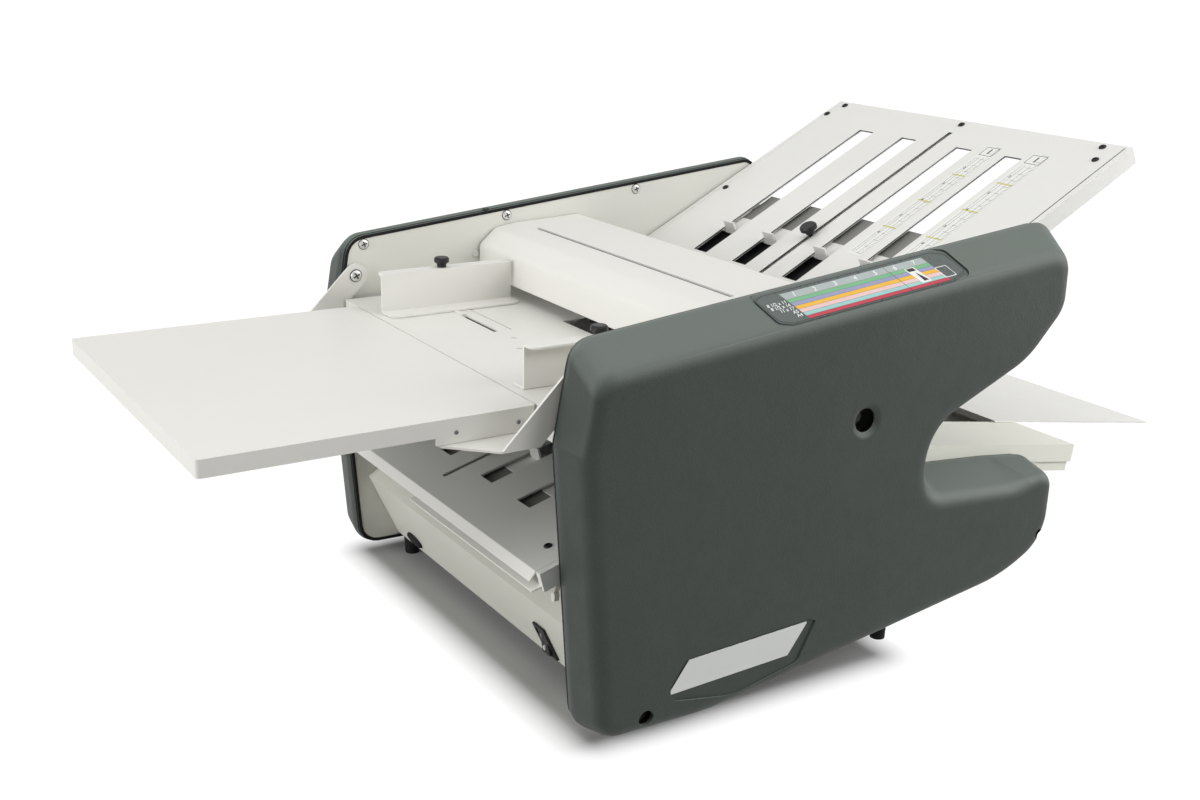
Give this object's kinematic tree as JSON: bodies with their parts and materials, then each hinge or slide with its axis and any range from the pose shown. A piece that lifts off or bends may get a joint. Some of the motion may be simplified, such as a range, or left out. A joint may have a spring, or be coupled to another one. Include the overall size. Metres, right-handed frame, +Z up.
{
  "type": "paper folding machine",
  "caption": "Tabletop sheet folding machine with a folding feed table, side guides, inclined slotted fold tables with sliding stops, and an exit bed with a sliding tray.",
  "frame": {"origin": "centre of the bounding box at the surface that the feet stand on", "axes": "+X along the paper's way from the feed tables to the exit tray, +Y across the machine to its far side, +Z up"},
  "size_m": [0.9186, 0.432, 0.3824],
  "materials": {
    "cream_paint": "satin",
    "cover_plastic": "fine grain",
    "black_rubber": "matt",
    "black_plastic": "semi gloss",
    "plain_steel": "zinc plated",
    "nylon": "smooth"
  },
  "bodies": {
    "base": {"cover_near": "cover_plastic", "cover_far": "cover_plastic", "edge_seal_near": "black_rubber", "edge_seal_far": "black_rubber", "side_frame_near": "cream_paint", "side_frame_far": "cream_paint", "bearing_plate_near": "plain_steel", "bearing_plate_far": "plain_steel", "pivot_screw_near": "plain_steel", "pivot_screw_far": "plain_steel", "motor": "plain_steel", "drive_belt": "black_rubber", "feed_belt": "black_rubber", "separator_bar": "plain_steel", "separator_holder": "plain_steel", "separator_pad": "black_rubber", "feed_table": "cream_paint", "upper_fold_top": "cream_paint", "upper_fold_tray": "cream_paint", "upper_tie_bar_1": "plain_steel", "upper_tie_bar_2": "plain_steel", "lower_fold_top": "cream_paint", "lower_fold_tray": "cream_paint", "lower_tie_bar_1": "plain_steel", "lower_tie_bar_2": "plain_steel", "exit_bed": "cream_paint", "base_pan": "cream_paint", "switch_bezel": "black_plastic", "cord_bushing": "black_rubber", "foot_front_near": "black_rubber", "foot_front_far": "black_rubber", "foot_rear_near": "black_rubber", "foot_rear_far": "black_rubber"},
    "extension": {"extension_table": "cream_paint", "arm_near": "cream_paint", "arm_far": "cream_paint"},
    "near_guide": {"guide_near": "cream_paint"},
    "near_guide_knob": {"guide_knob_near": "black_plastic"},
    "far_guide": {"guide_far": "cream_paint"},
    "far_guide_knob": {"guide_knob_far": "black_plastic"},
    "hood": {"roller_hood": "cream_paint"},
    "main_roller": {"fold_roller_2": "black_rubber", "roller_gear_2": "nylon", "double_pulley": "nylon"},
    "first_roller": {"fold_roller_1": "black_rubber", "roller_gear_1": "nylon"},
    "third_roller": {"fold_roller_3": "black_rubber", "roller_gear_3": "nylon"},
    "exit_roller": {"fold_roller_4": "black_rubber", "roller_gear_4": "nylon"},
    "feed": {"feed_roller": "black_rubber", "feed_shaft": "plain_steel"},
    "motor_rotor": {"motor_pulley": "plain_steel"},
    "upper_stop": {"upper_stop_bar": "cream_paint"},
    "upper_knob": {"upper_stop_knob": "black_plastic"},
    "lower_stop": {"lower_stop_bar": "cream_paint"},
    "lower_knob": {"lower_stop_knob": "black_plastic"},
    "tray": {"exit_tray": "cream_paint"},
    "rocker": {"switch_rocker": "black_plastic"}
  },
  "joints": [
    {"name": "extension_fold", "type": "hinge", "parent": "base", "child": "extension", "pos_m": [-0.2217, 0, 0.2564], "axis": [0, 1, 0], "range_deg": [0, 90]},
    {"name": "near_guide_slide", "type": "slide", "parent": "base", "child": "near_guide", "axis": [0, 1, 0], "range_m": [-0.044, 0.054]},
    {"name": "far_guide_slide", "type": "slide", "parent": "base", "child": "far_guide", "axis": [0, -1, 0], "range_m": [-0.044, 0.054]},
    {"name": "near_guide_knob_turn", "type": "hinge", "parent": "near_guide", "child": "near_guide_knob", "pos_m": [-0.1682, -0.12105, 0.27], "axis": [0, 0, 1], "range_deg": [0, 270]},
    {"name": "far_guide_knob_turn", "type": "hinge", "parent": "far_guide", "child": "far_guide_knob", "pos_m": [-0.1682, 0.12105, 0.27], "axis": [0, 0, 1], "range_deg": [0, 270]},
    {"name": "hood_lift", "type": "hinge", "parent": "base", "child": "hood", "pos_m": [-0.0037, 0, 0.267], "axis": [0, 1, 0], "range_deg": [0, 75]},
    {"name": "main_roller_spin", "type": "hinge", "parent": "base", "child": "main_roller", "pos_m": [-0.0017, 0, 0.21], "axis": [0, 1, 0], "continuous": true},
    {"name": "first_roller_spin", "type": "hinge", "parent": "base", "child": "first_roller", "pos_m": [-0.01394, 0, 0.23362], "axis": [0, 1, 0], "continuous": true},
    {"name": "third_roller_spin", "type": "hinge", "parent": "base", "child": "third_roller", "pos_m": [0.00563, 0, 0.18443], "axis": [0, 1, 0], "continuous": true},
    {"name": "exit_roller_spin", "type": "hinge", "parent": "base", "child": "exit_roller", "pos_m": [0.00933, 0, 0.15809], "axis": [0, 1, 0], "continuous": true},
    {"name": "feed_spin", "type": "hinge", "parent": "base", "child": "feed", "pos_m": [-0.0857, 0, 0.2211], "axis": [0, 1, 0], "continuous": true},
    {"name": "motor_spin", "type": "hinge", "parent": "base", "child": "motor_rotor", "pos_m": [-0.0727, 0, 0.076], "axis": [0, 1, 0], "continuous": true},
    {"name": "upper_stop_slide", "type": "slide", "parent": "base", "child": "upper_stop", "axis": [0.8878, 0, 0.4602], "range_m": [-0.036, 0.172]},
    {"name": "upper_knob_turn", "type": "hinge", "parent": "upper_stop", "child": "upper_knob", "pos_m": [0.12633, 0.0055, 0.29243], "axis": [-0.4602, 0, 0.8878], "range_deg": [0, 270]},
    {"name": "lower_stop_slide", "type": "slide", "parent": "base", "child": "lower_stop", "axis": [0.9613, 0, 0.2756], "range_m": [-0.023, 0.136]},
    {"name": "lower_knob_turn", "type": "hinge", "parent": "lower_stop", "child": "lower_knob", "pos_m": [-0.18144, 0.0055, 0.14735], "axis": [-0.2756, 0, 0.9613], "range_deg": [0, 270]},
    {"name": "tray_slide", "type": "slide", "parent": "base", "child": "tray", "axis": [0.9874, 0, -0.1582], "range_m": [-0.14, 0]},
    {"name": "power_rocker", "type": "hinge", "parent": "base", "child": "rocker", "pos_m": [-0.19043, -0.102, 0.0373], "axis": [0, 1, 0], "range_deg": [-18, 0]}
  ],
  "couplings": [
    {"joint": "first_roller_spin", "follows": "main_roller_spin", "ratio": -1},
    {"joint": "third_roller_spin", "follows": "main_roller_spin", "ratio": -1},
    {"joint": "exit_roller_spin", "follows": "main_roller_spin", "ratio": 1},
    {"joint": "feed_spin", "follows": "main_roller_spin", "ratio": 1},
    {"joint": "motor_spin", "follows": "main_roller_spin", "ratio": 2.4}
  ]
}
